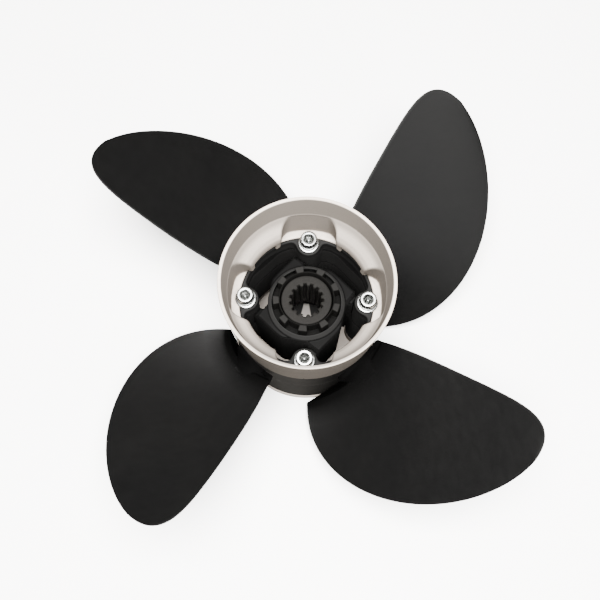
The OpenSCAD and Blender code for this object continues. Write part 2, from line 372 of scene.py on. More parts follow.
def ring_mesh():
    rs = steps((35.6, 49.9, 0.45))
    an = mirrored_angles((0, 10, 1.6), (10, 31, 0.75), (31, 41.5, 1.7), (41.5, 45, 0.7))
    an = finer(an, 270.0, 1.05, 0.15)
    zs = steps((67.4, 70, 0.45), (70, 72.5, 0.8), (72.5, 86, 0.55), (86, 95, 0.9), (95, 101.5, 0.5),
               (101.5, 114, 1.8), (114, 117.7, 0.35))
    return net(rs, an, zs, f_ring)


# --------------------------------------------------------------- hub halves
def passage(x, y):
    r = np.hypot(x, y)
    u, t = about(x, y, 45)
    return smax(r - 37.5, u - 36.2, 0.8)


REAR_PROFILE = Profile([
    (24, 42.5, 0), (45.93, 42.5, 0.25), (45.5, 68.0, 0.3), (40.2, 68.0, 0.2), (40.2, 74.0, 0.35), (24, 74.0, 0)])


def f_hub_rear(x, y, z):
    r = np.hypot(x, y)
    u, t = about(x, y, 0)
    low = np.maximum(passage(x, y), z - 70.0)
    up = np.maximum(r - 38.45, 52.0 - z)
    up = np.maximum(up, (r - 36.2 - (z - 62.0)) * 0.707)
    hole = np.minimum(low, up)
    boss = np.hypot(u - SCREW_R, t) - 7.4
    solid = smax(REAR_PROFILE(r, z), smin(-hole, boss, 5.0), 0.7)
    solid = smax(solid, -screw_holes(x, y, z), 0.4)
    solid = smax(solid, -blade_sockets(x, y, z), 0.5)
    v, w = about(x, y, 45)
    slot = np.maximum(np.maximum(np.abs(w) - 3.7, np.abs(v - 42.6) - 1.7), 52.5 - z)
    solid = smax(solid, -slot, 0.3)
    # five scale ticks below the ring's index notch
    dev = np.degrees(np.arctan2(x, -y))
    k = np.clip(np.round(dev / 1.3), -2, 2)
    tick = np.abs(np.radians(dev - 1.3 * k) * r) - 0.22
    tick = np.maximum(np.maximum(tick, 45.0 - r), np.where(k == 0, 64.0, 65.2) - z)
    return smax(solid, -tick, 0.12)


def hub_rear_mesh():
    rs = steps((27.1, 44.4, 0.6), (44.4, 46.6, 0.36))
    an = mirrored_angles((0, 24, 0.9), (24, 36, 1.4), (36, 45, 0.9))
    an = finer(an, 270.0, 3.3, 0.11)
    zs = steps((42.0, 43.5, 0.45), (43.5, 60, 1.2), (60, 65, 0.45), (65, 67, 0.8), (67, 69, 0.4), (69, 72, 0.9),
               (72, 74.7, 0.35))
    return net(rs, an, zs, f_hub_rear)


FRONT_PROFILE = Profile([
    (24, 8.0, 0), (43.15, 8.0, 0.2), (43.15, 3.0, 0.2), (46.6, 3.0, 0.4), (45.93, 42.4, 0.25), (24, 42.4, 0)])
INNER_PROFILE = Profile([
    (21.55, 1.0, 0.4), (23.2, 1.0, 0.6), (23.2, 69.7, 0.6), (21.4, 72.6, 0.25), (20.9, 72.6, 0.2), (20.9, 69.5, 0.2),
    (21.55, 69.5, 0.1)])
VANE_A = math.radians(52)
VANE_P = np.array([21.6 * math.cos(VANE_A), 21.6 * math.sin(VANE_A)])


def f_hub_front(x, y, z):
    r = np.hypot(x, y)
    u, t = about(x, y, 0)
    column = np.maximum(np.hypot(u - SCREW_R, t) - 7.4 - 0.0494 * np.maximum(42.4 - z, 0), r - 42)
    hole = passage(x, y)
    barrel = smax(FRONT_PROFILE(r, z), smin(-hole, column, 5.0), 0.6)
    # pinwheel vanes: high beside the tube, where the narrow corner is filled, lower towards the screw
    vane = None
    for k in range(4):
        c, s = math.cos(k * math.pi / 2), math.sin(k * math.pi / 2)
        a = np.array([c * VANE_P[0] - s * VANE_P[1], s * VANE_P[0] + c * VANE_P[1]])
        b = np.array([c * SCREW_R, s * SCREW_R])
        e = b - a
        wx, wy = x - a[0], y - a[1]
        h = np.clip((wx * e[0] + wy * e[1]) / (e @ e), 0, 1)
        d = smin(np.hypot(wx - e[0] * h, wy - e[1] * h) - 2.9, r - 23.2, 8.0)
        top = 62.0 + 6.5 * np.clip((18.4 - h * math.sqrt(e @ e)) / 0.9, 0, 1)
        d = smax(d, np.maximum(z - top, 1.0 - z), 1.0)
        vane = d if vane is None else np.minimum(vane, d)
    vane = smax(vane, -np.maximum(np.hypot(u - SCREW_R, t) - 7.8, 42.35 - z), 0.4)
    vane = np.maximum(vane, 21.7 - r)
    inner = INNER_PROFILE(r, z)
    body = smin(inner, vane, 1.0)
    body = smax(body, np.maximum(0.95 - z, z - 72.65), 0.3)
    body = smax(body, -np.maximum(np.hypot(u - SCREW_R, t) - 9.8, z - 8.05), 0.3)
    body = np.maximum(body, np.where(z < 69.5, 21.55 - r, 20.9 - r))
    solid = smin(barrel, body, 1.2 + 2.0 * np.clip((z - 10.0) / 4.0, 0, 1) * np.clip((40.0 - z) / 6.0, 0, 1))
    solid = smax(solid, -screw_holes(x, y, z), 0.4)
    groove = np.maximum(r - 22.4, np.abs(z - 11.05) - 0.85)
    solid = smax(solid, -groove, 0.2)
    return smax(solid, -blade_sockets(x, y, z), 0.5)


def hub_front_mesh():
    rs = steps((20.3, 24.4, 0.41), (24.4, 47.1, 0.7))
    an = np.radians(np.arange(0, 360, 1.125))
    zs = steps((0.4, 2, 0.4), (2, 9.4, 0.55), (9.4, 12.6, 0.4), (12.6, 40.5, 1.5), (40.5, 43.5, 0.5),
               (43.5, 64, 1.5), (64, 67, 0.8), (67, 73.2, 0.4))
    return net(rs, an, zs, f_hub_front)


LIP_PROFILE = Profile([
    (37.5, 0.0, 0.5), (47.75, 0.0, 0.7), (47.75, 2.95, 0.7), (43.0, 2.95, 0.2), (43.0, 7.95, 0.4), (37.5, 7.95, 0.4)])


def f_lip(x, y, z):
    r = np.hypot(x, y)
    u, t = about(x, y, 0)
    ear = np.maximum(np.hypot(u - SCREW_R, t) - 9.1 - 0.04 * (7.95 - z), r - 42)
    ear = smax(ear, np.abs(z - 3.975) - 3.975, 0.6)
    solid = smin(LIP_PROFILE(r, z), ear, 2.5)
    solid = np.maximum(solid, np.abs(z - 3.975) - 3.975)
    solid = smax(solid, -screw_holes(x, y, z), 0.3)
    du, dt = u - SCREW_R, t
    hexa = np.maximum(np.maximum(np.abs(dt), np.abs(0.5 * dt + 0.866025 * du)), np.abs(0.5 * dt - 0.866025 * du)) - 5.11
    return smax(solid, -np.maximum(hexa, z - 5.3), 0.3)


def lip_mesh():
    rs = steps((26.1, 45.5, 0.5), (45.5, 48.4, 0.4))
    an = mirrored_angles((0, 15, 0.8), (15, 45, 1.6))
    zs = steps((-0.7, 3.9, 0.38), (3.9, 8.6, 0.4))
    return net(rs, an, zs, f_lip)


# --------------------------------------------------------------- cushion bush
BUSH_PROFILE = Profile([
    (15.15, 12.0, 0.4), (21.5, 12.0, 0.5), (21.5, 67.6, 0.8), (15.15, 67.6, 0.6)])


def f_bush(x, y, z):
    r = np.hypot(x, y)
    u, t = about(x, y, 25, 9)
    crown = smax(np.abs(r - 16.32) - 0.37, np.maximum(z - 79.4, 66 - z), 0.3)
    lug = smax(smax(np.abs(t) - (2.1 + 0.186 * (u - 16.5)), np.maximum(16.4 - u, u - 20.05), 0.8),
               np.maximum(z - 79.9, 66 - z), 0.6)
    return smin(BUSH_PROFILE(r, z), smin(crown, lug, 0.5), 0.6)


def bush_mesh():
    rs = steps((14.7, 22.0, 0.32))
    an = np.radians(np.arange(0, 360, 0.8))
    zs = steps((11.4, 13, 0.4), (13, 64, 5.0), (64, 66.6, 0.8), (66.6, 69, 0.4), (69, 78, 1.5), (78, 80.6, 0.32))
    return net(rs, an, zs, f_bush)


# ---------------------------------------------------------------------------
# drive sleeve: splined bore at the rear, plain pilot bore in front
# ---------------------------------------------------------------------------
def spline_loop(grow=0.0):
    """One closed loop round the splined bore, fifteen grooves with eased corners."""
    pts = []
    lo, hi = 8.8 + grow, 10.3 + grow
    for k in range(15):
        base = 24.0 * k + 1.5
        hw_out = math.degrees(math.asin(0.86 / hi))
        hw_in = math.degrees(math.asin(1.02 / lo))
        seq = [(-12 + d, lo) for d in np.linspace(0, 12 - hw_in - 1.6, 6)]
        seq += [(-hw_in - 0.7, lo + 0.06), (-hw_in - 0.1, lo + 0.28)]
        seq += [(-hw_in + (hw_in - hw_out) * q, lo + (hi - lo) * w) for q, w in ((0.45, 0.5), (0.85, 0.78))]
        seq += [(-hw_out + 0.3, hi - 0.12), (-hw_out + 1.2, hi)]
        seq += [(-hw_out + 2.4, hi), (0.0, hi)]
        seq += [(-a, r) for a, r in reversed(seq[1:-1])]
        pts += [(r * math.cos(math.radians(base + a)), r * math.sin(math.radians(base + a))) for a, r in seq]
    return np.array(pts)


def sleeve_mesh():
    sp = spline_loop()
    wide = spline_loop(0.45)
    n = len(sp)
    ang = np.arctan2(sp[:, 1], sp[:, 0])
    circ = np.stack([np.cos(ang), np.sin(ang)], 1)

    def lay(xy, z):
        return np.column_stack([xy, np.full(n, z)])

    top, low = 76.3, 32.0
    loops = [lay(circ * 14.5, low), lay(circ * 14.95, low + 0.2), lay(circ * 15.1, low + 0.7)]
    loops += [lay(circ * 15.1, z) for z in (40, 50, 60, 72, top - 0.8)]
    loops += [lay(circ * 15.0, top - 0.35), lay(circ * 14.75, top - 0.08), lay(circ * 14.4, top)]
    loops += [lay(circ * r, top) for r in (13.5, 12.3, 11.4)]
    loops += [lay(wide, top), lay(wide * 0.75 + sp * 0.25, top - 0.1), lay(sp, top - 0.5)]
    loops += [lay(sp, z) for z in (72, 66, 60, 54, 48, 42, 40.3)]
    loops += [lay(circ * 10.6, 40.0), lay(circ * 11.2, 40.0), lay(circ * 11.5, 39.8)]
    loops += [lay(circ * 11.5, z) for z in (37, 34, low + 0.7)]
    loops += [lay(circ * 11.7, low + 0.3), lay(circ * 12.2, low), lay(circ * 13.2, low)]
    return skin(loops, closed=True)


# ---------------------------------------------------------------------------
# fasteners
# ---------------------------------------------------------------------------
def hex_loop(n, af, corner, a0=0.0):
    """Points round a hexagon of width af with rounded corners."""
    a = np.linspace(0, 2 * math.pi, n, endpoint=False)
    k = np.round((a - a0) / (math.pi / 3))
    d = (a - a0) - k * math.pi / 3
    flat = af / 2 / np.cos(d)
    r = -np.log(np.exp(-flat / corner) + np.exp(-(af / 2 * 1.135) / corner)) * corner
    return np.stack([r * np.cos(a), r * np.sin(a)], 1)


def screw_mesh():
    n = 120
    a = np.linspace(0, 2 * math.pi, n, endpoint=False)
    circ = np.stack([np.cos(a), np.sin(a)], 1)
    knurl = 1 - 0.012 * (0.5 + 0.5 * np.cos(40 * a))

    def lay(xy, z):
        return np.column_stack([xy, np.full(n, z) if np.isscalar(z) else z])

    soc = hex_loop(n, 5.0, 0.06)
    top, low = 83.25, 77.25
    loops = [lay(circ * 0.12, 78.95), lay(circ * 0.5, 79.08), lay(circ * 1.2, 79.5), lay(circ * 1.9, 79.92), lay(soc * 0.96, 80.16), lay(soc, 80.4)]
    loops += [lay(soc, z) for z in (81.2, 82.2)]
    loops += [lay(soc, 82.75), lay(soc * 0.55 + circ * 1.37, 83.0), lay(circ * 3.12, 83.2), lay(circ * 3.3, top)]
    loops += [lay(circ * r, top) for r in (3.7, 4.15)]
    loops += [lay(circ * 4.42, top - 0.03), lay(circ * 4.66, top - 0.17), lay(circ * 4.85, top - 0.42), lay(circ * 4.93, top - 0.7)]
    loops += [lay(circ * (5.0 * knurl)[:, None], z) for z in (top - 0.95, 80.6, 79.2, 78.1)]
    loops += [lay(circ * 4.93, 77.8), lay(circ * 4.8, 77.45), lay(circ * 4.5, low)]
    loops += [lay(circ * 3.3, low), lay(circ * 3.05, low - 0.1), lay(circ * 3.0, 76.6)]
    loops += [lay(circ * 3.0, z) for z in (60, 40, 22.5)]
    # thread on the lower end
    pitch = 1.0
    zz = 22.0
    while zz > 2.4:
        ph = (zz / pitch + a / (2 * math.pi)) % 1.0
        depth = 0.30 * np.abs(2 * ph - 1)
        fade = min(1.0, (22.0 - zz) / 2.0, (zz - 2.2) / 1.0)
        loops.append(lay(circ * (2.98 - depth * fade)[:, None], zz))
        zz -= 0.25
    loops += [lay(circ * 2.9, 1.9), lay(circ * 2.4, 1.2), lay(circ * 1.2, 1.1)]
    v, q, t = skin(loops)
    return v, q[:, ::-1], t[:, ::-1]


def washer_mesh():
    z0, z1 = SEAT_Z + 0.06, SEAT_Z + 1.62
    v, q, t = lathe([(3.35, z0), (6.05, z0), (6.23, z0 + 0.08), (6.3, z0 + 0.3), (6.3, z1 - 0.4), (6.22, z1 - 0.15), (6.02, z1),
                     (4.6, z1), (3.45, z1), (3.25, z1 - 0.1), (3.2, z1 - 0.3), (3.2, z0 + 0.25)], 96)
    return v, q, t


def spring_washer_mesh():
    """A split ring of square section with its ends cut on the slant, slightly sprung."""
    n = 90
    a = np.radians(np.linspace(6, 354, n))
    z0, z1 = 75.66, 77.22
    b = 0.16
    sec = [(3.1 + b, z0), (5.3 - b, z0), (5.3, z0 + b), (5.3, z1 - b), (5.3 - b, z1), (3.1 + b, z1), (3.1, z1 - b), (3.1, z0 + b)]
    loops = []
    for w in a:
        skew = 0.06
        loops.append(np.array([[r * math.cos(w + skew * (z - z0)), r * math.sin(w + skew * (z - z0)), z] for r, z in sec]))
    v, q, t = skin(loops)
    return v, q[:, ::-1], t[:, ::-1]


def nut_mesh():
    n = 120
    a = np.linspace(0, 2 * math.pi, n, endpoint=False)
    circ = np.stack([np.cos(a), np.sin(a)], 1)
    h = hex_loop(n, 9.98, 0.05, math.pi / 6)
    hr = np.hypot(h[:, 0], h[:, 1])

    def lay(xy, z):
        return np.column_stack([xy, np.full(n, z) if np.isscalar(z) else z])

    cham = np.clip((hr - 4.95) * 0.55, 0, 1)
    z0, z1 = 0.3, 5.2
    loops = [lay(circ * 3.55, z0), lay(circ * 4.8, z0), lay(h, z0 + 0.02 + cham), lay(h, 2.0), lay(h, 3.4), lay(h, z1 - 0.02 - cham),
             lay(circ * 4.8, z1), lay(circ * 3.55, z1), lay(circ * 3.08, z1 - 0.5)]
    zz = z1 - 0.8
    while zz > z0 + 0.7:
        ph = (zz + a / (2 * math.pi)) % 1.0
        loops.append(lay(circ * (3.03 - 0.02 * np.abs(2 * ph - 1))[:, None], zz))
        zz -= 0.4
    loops.append(lay(circ * 3.08, z0 + 0.5))
    return skin(loops, closed=True)


def snap_ring_mesh():
    """An internal snap ring with an eye at each end."""
    n = 110
    half = math.radians(166)
    a = np.linspace(-half, half, n) + math.radians(-90)
    loops = []
    z0, z1, b = 10.33, 11.77, 0.15
    for i, w in enumerate(a):
        edge = min(i, n - 1 - i) / (n - 1)
        grow = 2.6 * max(0.0, 1 - edge / 0.055) ** 0.5 if edge < 0.055 else 0.0
        ri = 19.6 - grow
        ro = 22.25
        sec = [(ri + b, z0), (ro - b, z0), (ro, z0 + b), (ro, z1 - b), (ro - b, z1), (ri + b, z1), (ri, z1 - b), (ri, z0 + b)]
        loops.append(np.array([[r * math.cos(w), r * math.sin(w), z] for r, z in sec]))
    v, q, t = skin(loops)
    return v, q[:, ::-1], t[:, ::-1]


# ---------------------------------------------------------------------------
# blades
# ---------------------------------------------------------------------------
def b_mid(s):
    return -10.0 + 19.5 * s * s


def b_half(s):
    return math.sqrt(max(0.0, 1 - s)) * (36.5 - 5.0 * (1 - s) ** 5)


def b_lead(s):
    return (335.0 + 155.0 * s * s) / (2 * math.pi)


def b_point(r, s, a, d, h):
    lead = b_lead(s)
    f = math.atan2(lead, r)
    ar = math.radians(a)
    t = -h * math.sin(f)
    z = AXIS_Z + lead * ar + 0.265 * (r - BLADE_R0) + 0.00075 * (r - BLADE_R0) ** 2 - 5.5 * math.radians(d) ** 2
    return (r * math.cos(ar) - t * math.sin(ar), r * math.sin(ar) + t * math.cos(ar), z + h * math.cos(f))


def b_thick(s, c, wmm):
    """Half thickness: a full middle that thins towards edges rounded to about 0.6 mm."""
    edge = max(0.0, 1 - abs(c)) * wmm
    rho = 0.62
    nose = rho * math.sqrt(max(0.0, 1 - (1 - min(edge / rho, 1.0)) ** 2))
    mid = 0.5 * (8.0 + (2.6 - 8.0) * s ** 0.7)
    return nose + max(0.0, mid - rho) * max(0.0, 1 - c * c) ** 1.05


def blade_loft():
    NC, NS = 46, 74
    loops = []

    def loop(s, inset=0.0, shift=0.0):
        r = BLADE_R0 + (TIP_R - BLADE_R0) * s + shift
        w, m = b_half(s), b_mid(s)
        wmm = math.radians(w) * math.hypot(r, b_lead(s))
        row = []
        for j in range(2 * NC):
            u = j / NC if j <= NC else 2 - j / NC
            c = -math.cos(math.pi * u)
            c = math.copysign(abs(c) ** 0.92, c) if abs(c) > 1e-9 else 0.0
            sign = 0.0 if j in (0, NC) else (1.0 if j < NC else -1.0)
            h = b_thick(s, c, wmm)
            h = max(0.12 * h, h - inset)
            cc = c * (1 - inset / max(wmm, 1.0))
            row.append(b_point(r, s, m + cc * w, cc * w, sign * h))
        return np.array(row)

    s0 = (ROOT_R - BLADE_R0) / (TIP_R - BLADE_R0)
    for al in (0.0, 22.0, 45.0, 68.0):
        e = 0.7
        loops.append(loop(s0, e * (1 - math.sin(math.radians(al))), e * (1 - math.cos(math.radians(al)))))
    for i in range(1, NS + 1):
        q = i / NS
        s = s0 + (0.9994 - s0) * (1 - (1 - q) ** 1.9)
        loops.append(loop(max(s, s0 + 0.012 * min(i, 2))))
    v, q, t = skin(loops)
    return v, q[:, ::-1], t[:, ::-1]


def blade_root():
    """Round root: flange and shank in the socket, then a pedestal that flares into the blade."""
    n = 96
    a = np.linspace(0, 2 * math.pi, n, endpoint=False)
    loops = []

    def ring(u, rad):
        return np.column_stack([np.full(n, u), rad * np.cos(a), AXIS_Z + rad * np.sin(a)])

    loops += [ring(37.3, 15.6), ring(37.3, 16.4), ring(37.42, 16.8), ring(37.75, 17.0), ring(39.3, 17.0), ring(39.6, 16.85), ring(39.7, 16.5)]
    loops += [ring(39.7, 13.9), ring(39.85, 13.6), ring(40.1, 13.5), ring(43.0, 13.5), ring(45.6, 13.5), ring(46.6, 13.35), ring(47.1, 13.0)]
    # blend from the round pedestal to the blade's own section
    f0 = math.atan2(b_lead(0), 50.0)
    ex, ez = math.cos(f0), math.sin(f0)
    for k in range(1, 12):
        q = k / 11
        u = 47.2 + 9.8 * q
        w = 1 - (1 - q) ** 3.0
        hc, ht = 13.0 - 2.5 * q, 4.1 - 0.5 * q
        row = []
        for ang in a:
            cy, cz = 12.9 * math.cos(ang), 12.9 * math.sin(ang)
            # section axes: along the chord and across it
            p = cy * ex + cz * ez
            o = -cy * ez + cz * ex
            po, oo = p * (1 - w) + (p / 12.9 * hc) * w, o * (1 - w) + (o / 12.9 * ht) * w
            zc = 0.265 * (u - BLADE_R0) * w
            row.append((u, po * ex - oo * ez, AXIS_Z + zc + po * ez + oo * ex))
        loops.append(np.array(row))
    v, q, t = skin(loops)
    return v, q[:, ::-1], t[:, ::-1]


def blade_tab():
    """Thin tab at the inner corner of the trailing edge, reaching back towards the barrel."""
    n = 64
    a = np.linspace(0, 2 * math.pi, n, endpoint=False)
    c, s = np.cos(a), np.sin(a)
    # a rounded bar: full sides, soft corners
    cx = np.sign(c) * np.abs(c) ** 0.32
    sy = np.sign(s) * np.abs(s) ** 0.55
    loops = []
    for r, k, hi in ((46.35, 0.80, 16.2), (46.43, 0.90, 17.0), (46.65, 0.97, 18.0), (47.0, 1.0, 19.4), (47.5, 1.0, 20.3),
                     (48.3, 1.0, 20.8), (49.6, 1.0, 20.8), (51.2, 1.0, 20.8), (53.0, 1.0, 20.8), (54.5, 0.9, 20.6)):
        m, w = 0.5 * (hi + 9.0), 0.5 * (hi - 9.0)
        loops.append(np.array([b_point(r, 0.0, m + w * p, 10.0 + m + w * p, -1.3 + 1.0 * k * q) for p, q in zip(cx, sy)]))
    return skin(loops)


def united(name, first, *others):
    """Boolean union of closed meshes, as a new mesh."""
    oa = new_object(name + "_0", new_mesh(name + "_0", *first))
    made = [oa]
    for i, other in enumerate(others):
        ob = new_object("%s_%d" % (name, i + 1), new_mesh("%s_%d" % (name, i + 1), *other))
        made.append(ob)
        mod = oa.modifiers.new("u", "BOOLEAN")
        mod.operation = "UNION"
        mod.solver = "EXACT"
        mod.object = ob
    dg = bpy.context.evaluated_depsgraph_get()
    me = bpy.data.meshes.new_from_object(oa.evaluated_get(dg))
    for o in made:
        m = o.data
        bpy.data.objects.remove(o)
        bpy.data.meshes.remove(m)
    # no folded double faces along the seams
    bm = bmesh.new()
    bm.from_mesh(me)
    bmesh.ops.triangulate(bm, faces=[f for f in bm.faces if len(f.verts) > 4])
    bm.verts.index_update()
    twins = {}
    for f in bm.faces:
        twins.setdefault(frozenset(v.index for v in f.verts), []).append(f)
    bmesh.ops.delete(bm, geom=[f for fs in twins.values() if len(fs) > 1 for f in fs], context="FACES")
    bm.to_mesh(me)
    bm.free()
    me.polygons.foreach_set("use_smooth", np.ones(len(me.polygons), dtype=bool))
    me.name = name
    return me


# ---------------------------------------------------------------------------
# materials
# ---------------------------------------------------------------------------
def material(name):
    m = bpy.data.materials.new(name)
    m.use_nodes = True
    nt = m.node_tree
    b = nt.nodes["Principled BSDF"]
    return m, nt, b


def node(nt, kind, **kw):
    n = nt.nodes.new(kind)
    for k, v in kw.items():
        if k.startswith("in_"):
            key = k[3:]
            n.inputs[int(key) if key.isdigit() else key.replace("_", " ")].default_value = v
        else:
            setattr(n, k, v)
    return n


def coords(nt, scale=(1, 1, 1)):
    tc = node(nt, "ShaderNodeTexCoord")
    mp = node(nt, "ShaderNodeMapping")
    mp.inputs["Scale"].default_value = scale
    nt.links.new(tc.outputs["Object"], mp.inputs["Vector"])
    return mp.outputs["Vector"]


def noise(nt, vec, scale, detail=4.0, rough=0.55, dist=0.0):
    n = node(nt, "ShaderNodeTexNoise")
    n.inputs["Scale"].default_value = scale
    n.inputs["Detail"].default_value = detail
    n.inputs["Roughness"].default_value = rough
    n.inputs["Distortion"].default_value = dist
    nt.links.new(vec, n.inputs["Vector"])
    return n.outputs["Fac"]


def ramp(nt, fac, stops):
    r = node(nt, "ShaderNodeValToRGB")
    e = r.color_ramp.elements
    while len(e) < len(stops):
        e.new(0.5)
    for q, (p, c) in zip(e, stops):
        q.position = p
        q.color = tuple(c) + (1.0,) if len(c) == 3 else c
    nt.links.new(fac, r.inputs["Fac"])
    return r.outputs["Color"]


def remap(nt, fac, lo, hi, f0=0.0, f1=1.0):
    n = node(nt, "ShaderNodeMapRange")
    n.inputs["From Min"].default_value = f0
    n.inputs["From Max"].default_value = f1
    n.inputs["To Min"].default_value = lo
    n.inputs["To Max"].default_value = hi
    nt.links.new(fac, n.inputs["Value"])
    return n.outputs["Result"]


def mix(nt, fac, a, b, mode="MIX"):
    n = node(nt, "ShaderNodeMix", data_type="RGBA", blend_type=mode)
    for val, sock in ((fac, n.inputs["Factor"]), (a, n.inputs[6]), (b, n.inputs[7])):
        if hasattr(val, "links"):
            nt.links.new(val, sock)
        else:
            sock.default_value = val if not isinstance(val, tuple) or len(val) == 4 else val + (1.0,)
    return n.outputs[2]


def bump(nt, b, height, strength, dist, chain=None):
    n = node(nt, "ShaderNodeBump")
    n.inputs["Strength"].default_value = strength
    n.inputs["Distance"].default_value = dist
    nt.links.new(height, n.inputs["Height"])
    if chain is not None:
        nt.links.new(chain, n.inputs["Normal"])
    return n.outputs["Normal"]


def painted_facing_light(nt, stops, tint):
    """Painted light and shade: a tone by how far a face looks up (-1 to 1), standing in for the overhead light falling
    full on tops and grazing the walls.
    """
    tc = node(nt, "ShaderNodeTexCoord")
    sep = node(nt, "ShaderNodeSeparateXYZ")
    nt.links.new(tc.outputs["Normal"], sep.inputs["Vector"])
    up = remap(nt, sep.outputs["Z"], 0.0, 1.0, -1.0, 1.0)
    return ramp(nt, up, [(0.5 + 0.5 * z, tuple(q * c for c in tint)) for z, q in stops])


def outside(nt, lo, hi, taper):
    """0 inside and 1 outside a cone about the axis: distance from the axis less taper times height, from lo to hi metres."""
    flat = node(nt, "ShaderNodeVectorMath", operation="LENGTH")
    nt.links.new(coords(nt, (1, 1, 0)), flat.inputs[0])
    tc = node(nt, "ShaderNodeTexCoord")
    sep = node(nt, "ShaderNodeSeparateXYZ")
    nt.links.new(tc.outputs["Object"], sep.inputs["Vector"])
    cone = node(nt, "ShaderNodeMath", operation="MULTIPLY_ADD", in_1=-taper)
    nt.links.new(sep.outputs["Z"], cone.inputs[0])
    nt.links.new(flat.outputs["Value"], cone.inputs[2])
    return remap(nt, cone.outputs["Value"], 0.0, 1.0, lo, hi)


def sheen(nt, b, level):
    """Gloss only on faces that look up; the walls stay matt."""
    tc = node(nt, "ShaderNodeTexCoord")
    sep = node(nt, "ShaderNodeSeparateXYZ")
    nt.links.new(tc.outputs["Normal"], sep.inputs["Vector"])
    nt.links.new(remap(nt, sep.outputs["Z"], 0.0, level, 0.3, 0.7), b.inputs["Specular IOR Level"])


def mat_ring(name, stops, outer_shade_stops=None):
    m, nt, b = material(name)
    v = coords(nt)
    broad = noise(nt, v, 38.0, 3.0)
    fine = noise(nt, v, 900.0, 3.0)
    # painted light and shade: the base tone follows which way each face looks
    col = painted_facing_light(nt, stops, (1.0, 0.885, 0.77))
    if outer_shade_stops:
        # painted shade: inside and on the rim the ring is darkened towards -Y
        tc = node(nt, "ShaderNodeTexCoord")
        sep = node(nt, "ShaderNodeSeparateXYZ")
        nt.links.new(tc.outputs["Object"], sep.inputs["Vector"])
        painted_lighting = ramp(nt, remap(nt, sep.outputs["Y"], 1.0, 0.0, -0.046, -0.018),
                    [(0.0, (1.0, 1.0, 1.0)), (1.0, (0.36, 0.37, 0.38))])
        col = mix(nt, 1.0, col, painted_lighting, "MULTIPLY")
        # painted shade: the outer skin takes darker tones, also set by face direction
        col = mix(nt, outside(nt, 0.0416, 0.0421, 0.0572), col, painted_facing_light(nt, outer_shade_stops, (1.0, 0.885, 0.77)))
    col = mix(nt, 1.0, col, ramp(nt, broad, [(0.30, (0.93, 0.93, 0.93)), (0.70, (1.0, 1.0, 1.0))]), "MULTIPLY")
    col = mix(nt, remap(nt, fine, 0.0, 0.22, 0.5, 0.8), col, (0.09, 0.082, 0.074))
    nt.links.new(col, b.inputs["Base Color"])
    nt.links.new(remap(nt, broad, 0.42, 0.54, 0.3, 0.7), b.inputs["Roughness"])
    streak = noise(nt, coords(nt, (1, 1, 9)), 210.0, 2.0)
    n1 = bump(nt, b, streak, 0.10, 0.0004)
    n2 = bump(nt, b, fine, 0.10, 0.00012, n1)
    nt.links.new(n2, b.inputs["Normal"])
    sheen(nt, b, 0.10)
    return m


def mat_black():
    m, nt, b = material("hub_black")
    v = coords(nt)
    broad = noise(nt, v, 60.0, 4.0)
    fine = noise(nt, v, 1400.0, 2.0)
    tc = node(nt, "ShaderNodeTexCoord")
    sep = node(nt, "ShaderNodeSeparateXYZ")
    nt.links.new(tc.outputs["Object"], sep.inputs["Vector"])
    # painted shade: below about 69 mm up, faces that look up are painted darker as shade and walls a little lighter;
    # the rear rims above take lit tones
    lit_rim_mask = remap(nt, sep.outputs["Z"], 0.0, 1.0, 0.0688, 0.0700)
    shaded_deep = painted_facing_light(nt, [(0.0, 0.0130), (0.2, 0.0110), (0.5, 0.0026), (0.85, 0.0013)], (1.0, 0.99, 0.97))
    col = mix(nt, lit_rim_mask, shaded_deep, painted_facing_light(nt, [(0.0, 0.0100), (0.2, 0.0090), (0.5, 0.0120), (0.85, 0.0080)], (1.0, 0.99, 0.97)))
    # painted reflection and shade: the barrel's outer skin is lighter on faces turned towards -X and darker on faces
    # turned towards +X
    turn = node(nt, "ShaderNodeSeparateXYZ")
    nt.links.new(tc.outputs["Normal"], turn.inputs["Vector"])
    skin = mix(nt, remap(nt, turn.outputs["X"], 0.0, 1.0, -0.05, 0.40), (0.0155, 0.0148, 0.0137), (0.0042, 0.0041, 0.0039))
    col = mix(nt, outside(nt, 0.04625, 0.0465, -0.01692), col, skin)
    col = mix(nt, 1.0, col, ramp(nt, broad, [(0.3, (0.84, 0.84, 0.84)), (0.75, (1.0, 1.0, 1.0))]), "MULTIPLY")
    nt.links.new(col, b.inputs["Base Color"])
    nt.links.new(remap(nt, broad, 0.42, 0.56, 0.3, 0.7), b.inputs["Roughness"])
    nt.links.new(bump(nt, b, fine, 0.08, 0.0001), b.inputs["Normal"])
    sheen(nt, b, 0.015)
    return m


def mat_blade():
    m, nt, b = material("blade_composite")
    v = coords(nt)
    broad = noise(nt, v, 22.0, 4.0)
    grain = noise(nt, v, 1800.0, 3.0)
    flow = noise(nt, coords(nt, (1, 1, 4)), 130.0, 3.0, dist=0.6)
    col = ramp(nt, broad, [(0.30, (0.0012, 0.0012, 0.00122)), (0.70, (0.0017, 0.00168, 0.00164))])
    col = mix(nt, remap(nt, grain, 0.0, 0.35, 0.52, 0.75), col, (0.0032, 0.0031, 0.0030))
    nt.links.new(col, b.inputs["Base Color"])
    nt.links.new(remap(nt, flow, 0.36, 0.44, 0.3, 0.7), b.inputs["Roughness"])
    n1 = bump(nt, b, flow, 0.06, 0.0004)
    nt.links.new(bump(nt, b, grain, 0.16, 0.00012, n1), b.inputs["Normal"])
    gloss = remap(nt, outside(nt, 0.055, 0.068, 0.0), 0.0, 0.05)
    nt.links.new(gloss, b.inputs["Specular IOR Level"])
    return m


